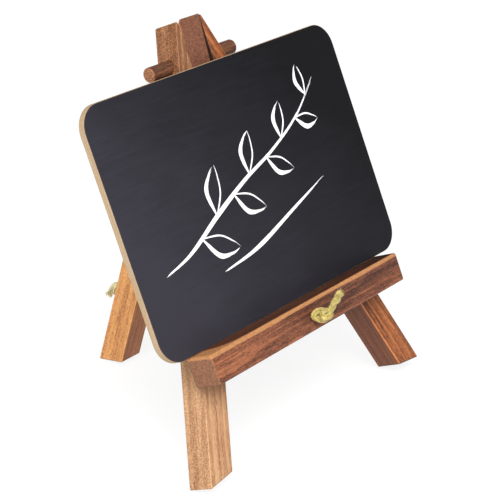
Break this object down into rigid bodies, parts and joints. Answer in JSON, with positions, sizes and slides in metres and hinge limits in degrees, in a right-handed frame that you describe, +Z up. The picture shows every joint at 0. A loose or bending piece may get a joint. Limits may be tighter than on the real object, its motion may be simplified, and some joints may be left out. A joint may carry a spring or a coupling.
{
  "type": "tabletop chalkboard easel",
  "caption": "Small rectangular chalkboard with round corners, standing on the ledge of a folding wooden tripod easel with a stay cord.",
  "frame": {"origin": "on the floor, in the middle of the object's footprint box", "axes": "+X to the right as the board is read, +Y to the back, +Z up"},
  "size_m": [0.15, 0.1208, 0.1607],
  "materials": {
    "pale_wood": "satin oiled hardwood",
    "rear_leg_wood": "satin oiled hardwood",
    "dowel_wood": "satin oiled hardwood",
    "ledge_wood": "satin oiled hardwood",
    "fibreboard": "raw sanded fibreboard",
    "chalk_surface": "matt chalk paint",
    "cotton": "twisted cotton cord",
    "steel": "zinc plated"
  },
  "bodies": {
    "easel": {"front_leg_left": "pale_wood", "front_leg_right": "pale_wood", "ledge": "ledge_wood", "ledge_screw_left": "steel", "ledge_screw_right": "steel", "pivot_dowel": "dowel_wood", "stay_knot_front": "cotton", "stay_cord": "cotton"},
    "rear_leg": {"rear_leg": "rear_leg_wood", "stay_knot_rear": "cotton"},
    "board": {"board_core": "fibreboard", "board_face_front": "chalk_surface", "board_face_back": "chalk_surface"}
  },
  "joints": [
    {"name": "rear_leg_fold", "type": "hinge", "parent": "easel", "child": "rear_leg", "pos_m": [-0.001, 0.0053, 0.14272], "axis": [-1, 0, 0], "range_deg": [0, 40.8], "deforming": ["stay_cord"]},
    {"name": "board_lift", "type": "slide", "parent": "easel", "child": "board", "axis": [0, 0, 1], "range_m": [0, 0.125]}
  ]
}
